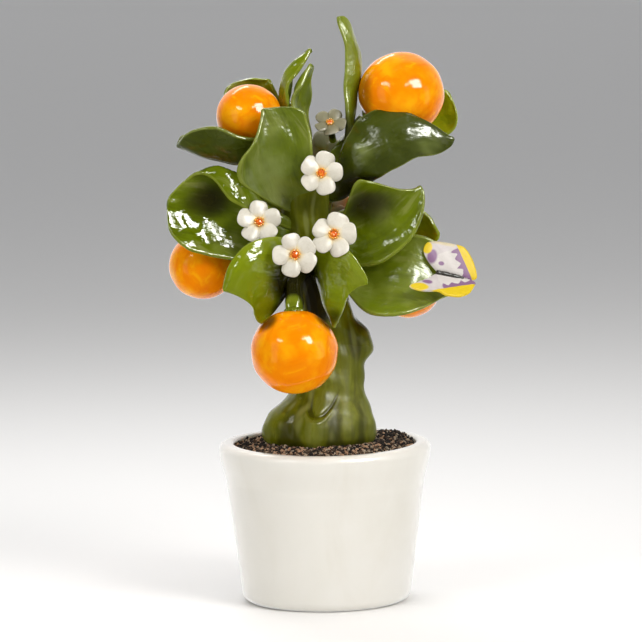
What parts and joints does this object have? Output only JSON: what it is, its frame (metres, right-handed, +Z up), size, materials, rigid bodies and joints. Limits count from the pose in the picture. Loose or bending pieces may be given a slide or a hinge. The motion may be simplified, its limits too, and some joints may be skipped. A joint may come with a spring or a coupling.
{
  "type": "glazed ceramic model of an orange tree in a pot",
  "caption": "Tabletop ceramic orange tree with a flared trunk, large curled leaves, round fruit and small white flowers, standing in a plain white pot filled with granular soil.",
  "frame": {"origin": "middle of the pot's flat underside", "axes": "+Z up along the pot's axis, -Y towards the viewer of the picture's side, +X to that viewer's right"},
  "size_m": [0.1564, 0.1201, 0.2994],
  "materials": {
    "pot_glaze": "glossy ivory glaze",
    "soil": "matt grains in dark brown, grey and dusty pink",
    "bark_glaze": "glossy olive brown glaze over modelled ridges",
    "leaf_glaze": "glossy green glaze, paler along the edges",
    "fruit_glaze": "glossy orange glaze, brushed with deeper orange",
    "petal_glaze": "glossy warm white glaze with orange centres",
    "wing_glaze": "glossy white glaze with painted yellow and purple marks"
  },
  "bodies": {
    "root": {"pot": "pot_glaze", "soil": "soil", "trunk": "bark_glaze", "orange_right_high": "fruit_glaze", "orange_left_high": "fruit_glaze", "orange_left_middle": "fruit_glaze", "orange_front": "fruit_glaze", "orange_right_low": "fruit_glaze", "orange_back_left_high": "fruit_glaze", "orange_back_low": "fruit_glaze", "orange_back_right": "fruit_glaze", "orange_back_left_low": "fruit_glaze", "bough_right": "bark_glaze", "bough_left": "bark_glaze", "stalk_front": "bark_glaze", "stalk_left": "bark_glaze", "stalk_right": "bark_glaze", "stalk_back_left_high": "bark_glaze", "stalk_back_low": "bark_glaze", "stalk_back_right": "bark_glaze", "stalk_back_left_low": "bark_glaze", "leaf_top_right": "leaf_glaze", "leaf_top_left": "leaf_glaze", "leaf_top_middle": "leaf_glaze", "leaf_front_left_high": "leaf_glaze", "leaf_front_right_high": "leaf_glaze", "leaf_behind_right_orange": "leaf_glaze", "leaf_left_high": "leaf_glaze", "leaf_behind_left_orange": "leaf_glaze", "leaf_left_middle": "leaf_glaze", "leaf_right_middle": "leaf_glaze", "leaf_right_low": "leaf_glaze", "leaf_front_left_low": "leaf_glaze", "leaf_front_right_low": "leaf_glaze", "leaf_right_behind": "leaf_glaze", "leaf_back_left_low": "leaf_glaze", "leaf_back_right_low": "leaf_glaze", "leaf_back_low": "leaf_glaze", "leaf_back_left_middle": "leaf_glaze", "leaf_back_right_middle": "leaf_glaze", "leaf_back_middle": "leaf_glaze", "leaf_back_left_high": "leaf_glaze", "leaf_back_right_high": "leaf_glaze", "butterfly_body": "wing_glaze", "butterfly_wing_high": "wing_glaze", "butterfly_wing_low": "wing_glaze", "flower_centre": "petal_glaze", "flower_left": "petal_glaze", "flower_front": "petal_glaze", "flower_right": "petal_glaze", "flower_top": "petal_glaze", "flower_back_high": "petal_glaze", "flower_back_left": "petal_glaze", "flower_back_right": "petal_glaze"}
  },
  "joints": []
}
